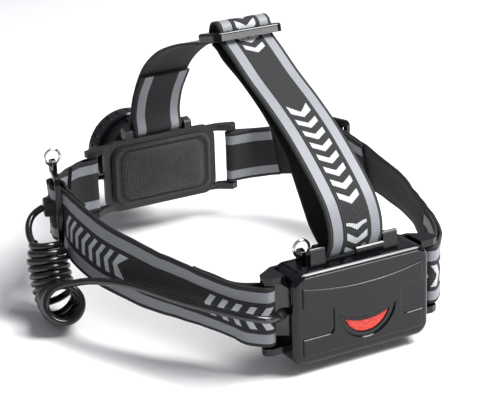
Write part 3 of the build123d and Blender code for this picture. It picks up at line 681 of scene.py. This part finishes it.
# (along, out) from the slider's middle, over its middle bar and back under the band
SLIDER_LOOP = [(8.0, -2.3), (6.2, -1.0), (4.6, 1.3), (2.6, 2.5), (0.0, 2.7), (-2.6, 2.4), (-4.3, 0.8),
               (-4.6, -1.4), (-3.2, -3.4), (0.0, -4.3), (5.0, -4.6)]
REAR_END = [(83.9, -35.0), (85.7, -26.0), (86.8, -17.0)]
# the front band: its end inside, round the slider's front bar, forward, and round the lamp bracket's bar
FRONT_BAND = [(70.6, -71.4), (74.6, -66.0), (77.6, -61.6), (79.4, -59.0)]
FRONT_LOOP = [(-10.6, -2.7), (-8.2, -2.2), (-6.9, -0.2), (-7.6, 1.9), (-9.8, 2.6), (-12.0, 2.1)]
FRONT_REST = [(79.2, -62.4), (75.4, -67.8), (66.4, -79.5), (56.5, -89.4), (49.4, -94.6), (46.2, -95.6),
              (44.2, -95.8), (42.3, -94.8), (41.7, -93.0), (42.5, -91.0), (45.0, -90.0), (49.0, -89.8),
              (55.2, -88.2), (60.6, -83.2), (65.0, -78.4)]
# where a group of marks begins, in millimetres along each strap
REAR_MARKS, FRONT_MARKS, CROWN_MARKS = [27, 138], [], [161, 261, 325]


def from_slider(along, out):
    """Plan position from the side slider's own directions."""
    spot = SLIDER_MIDDLE + SLIDER_ALONG * along + SLIDER_OUT * out
    return (spot.x, spot.y)


def side_straps(side, word):
    """The long rear band and the short front band of one side."""
    loop = [from_slider(a, o) for a, o in SLIDER_LOOP]
    plan = REAR_BAND + loop + REAR_END
    controls = [band_point(x, y, side) for x, y in plan]
    rear_strap = strap(f"rear_band_{word}", controls, band_up, side, REAR_MARKS)
    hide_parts(f"headband_rear_{word}")
    plan = FRONT_BAND + [from_slider(a, o) for a, o in FRONT_LOOP] + FRONT_REST
    controls = [band_point(x, y, side) for x, y in plan]
    front_strap = strap(f"front_band_{word}", controls, band_up, side, FRONT_MARKS)
    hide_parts(f"headband_front_{word}")


for side, word in ((1, "left"), (-1, "right")):
    side_straps(side, word)

# the crown strap as (y, z): sewn round the lamp's bar, over the slider, round the pack's bar and back
CROWN_FRONT = [(-84.8, 53.6), (-94.4, 40.2), (-98.6, 29.6), (-98.9, 24.0), (-97.8, 19.2), (-98.6, 16.6),
               (-100.4, 15.7), (-102.4, 16.8), (-102.9, 19.0), (-102.2, 22.4), (-100.4, 30.0), (-96.0, 41.0),
               (-84.0, 57.8), (-66.0, 71.0), (-45.0, 79.8), (-25.0, 85.4), (-14.0, 88.0), (-9.4, 89.2)]
CROWN_OVER = [(-6.0, 90.6), (-3.9, 93.6), (-3.6, 97.0), (-2.0, 100.4), (1.6, 101.8), (5.0, 100.6),
              (6.4, 97.6), (6.4, 94.6), (9.0, 92.4)]
CROWN_REAR = [(13.0, 90.4), (19.5, 86.8), (33.3, 78.9), (51.6, 69.9), (69.4, 59.7), (86.5, 47.4),
              (96.0, 39.4), (101.4, 33.6), (105.2, 26.0), (105.9, 19.0), (104.2, 14.4), (101.6, 10.5),
              (98.8, 12.2), (97.6, 14.8), (93.0, 18.4), (87.6, 23.6), (79.8, 35.0), (69.4, 49.4),
              (57.0, 60.0), (45.3, 68.2), (26.4, 78.0), (10.0, 84.6), (3.6, 88.6), (-1.2, 90.4)]


def crown_up(centre, along):
    """The crown strap lies across X; its upper edge is the one on the wearer's left."""
    return Vector((1, 0, 0))


crown_controls = [(0.0, y, z) for y, z in CROWN_FRONT + CROWN_OVER + CROWN_REAR]
crown = strap("crown_strap", crown_controls, crown_up, 1, CROWN_MARKS)
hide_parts("crown_strap_front", "crown_strap_outer", "crown_strap_inner")

# ---------------------------------------------------------------- pads
def rounded_outline(width, height, corner, count=16):
    """Points round a rounded rectangle, centred on the origin."""
    outline = []
    for quarter, (sx, sy) in enumerate(((1, 1), (-1, 1), (-1, -1), (1, -1))):
        for n in range(count):
            angle = math.pi / 2 * (quarter + n / (count - 1))
            outline.append((sx * (width / 2 - corner) + corner * math.cos(angle),
                            sy * (height / 2 - corner) + corner * math.sin(angle)))
    return outline


# (share of the outline, share of the thickness): crowned face with a sewn channel near its edge
PAD_PROFILE = [(0.02, 1.0), (0.25, 0.99), (0.5, 0.96), (0.7, 0.9), (0.8, 0.82), (0.845, 0.58),
               (0.865, 0.54), (0.885, 0.58), (0.92, 0.76), (0.955, 0.76), (0.985, 0.6), (1.0, 0.36),
               (0.995, 0.14), (0.97, 0.02), (0.9, 0.0), (0.5, 0.0), (0.02, 0.0)]
PAD_SWELL = 0.05            # unevenness of the foam, as a share of its thickness


def pad(name, node, face, corner):
    """Foam pad that fills the CAD pad's box; face is the Y direction that touches the head."""
    low, high = (corner_point / MM for corner_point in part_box(node))
    middle = (low + high) / 2
    width, height, depth = high.x - low.x, high.z - low.z, high.y - low.y
    outline = rounded_outline(width, height, corner)
    seat = high.y if face < 0 else low.y
    vertices = []
    for share, lift in PAD_PROFILE:
        for x, z in outline:
            swell = 1.0 + PAD_SWELL * math.sin(x * 0.31) * math.cos(z * 0.37) * lift
            raised = seat + face * depth * min(lift * swell, 1.0)
            vertices.append(point(middle.x + x * share, raised, middle.z + z * share))
    faces = tube_faces(len(PAD_PROFILE), len(outline), face)
    piece = mesh_piece(name, vertices, faces, PAD)
    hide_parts(node)


pad("pack_pad", "rear_pad", -1, 6.0)
pad("brow_pad", "front_pad", 1, 7.0)

# ---------------------------------------------------------------- floor and light
FLOOR_HALF = 4.0            # metres
FLOOR_GAP = 0.3             # under the lowest piece
floor_z = cad_box[0].z - FLOOR_GAP * MM
corners = [(x * FLOOR_HALF, y * FLOOR_HALF, floor_z) for x, y in ((-1, -1), (1, -1), (1, 1), (-1, 1))]
floor_mesh = bpy.data.meshes.new("floor")
floor_mesh.from_pydata(corners, [], [(0, 1, 2, 3)])
floor = bpy.data.objects.new("floor", floor_mesh)
bpy.context.scene.collection.objects.link(floor)
paper = Shader("paper", (0.86, 0.86, 0.87), 0.7)
paper.rough(paper.spread(paper.noise(30, 3), 0.62, 0.78))
floor_mesh.materials.append(paper.material)


def soft_light(name, place, target, size, power):
    """A square softbox aimed at a place, in metres and watts."""
    lamp = bpy.data.lights.new(name, "AREA")
    lamp.shape = "SQUARE"
    lamp.size = size
    lamp.energy = power
    holder = bpy.data.objects.new(name, lamp)
    holder.location = place
    holder.rotation_mode = "QUATERNION"
    holder.rotation_quaternion = (Vector(target) - Vector(place)).to_track_quat("-Z", "Y")
    bpy.context.scene.collection.objects.link(holder)


soft_light("overhead", (-0.62, 0.42, 1.15), (0, 0.02, 0), 0.9, 38)
soft_light("back_right", (-0.74, 1.38, 0.22), (0, 0.02, 0.08), 0.4, 5)
soft_light("left_fill", (1.5, -0.1, 0.5), (0.05, 0, 0), 0.5, 0.5)
soft_light("glint", (-0.42, 0.39, 0.74), (0, 0.1, 0), 0.16, 2.2)
world = bpy.data.worlds.new("studio")
world.use_nodes = True
sky = world.node_tree.nodes["Background"]
sky.inputs["Color"].default_value = (0.93, 0.95, 1.0, 1)
sky.inputs["Strength"].default_value = 0.25
bpy.context.scene.world = world
bpy.context.scene.view_settings.view_transform = "Standard"
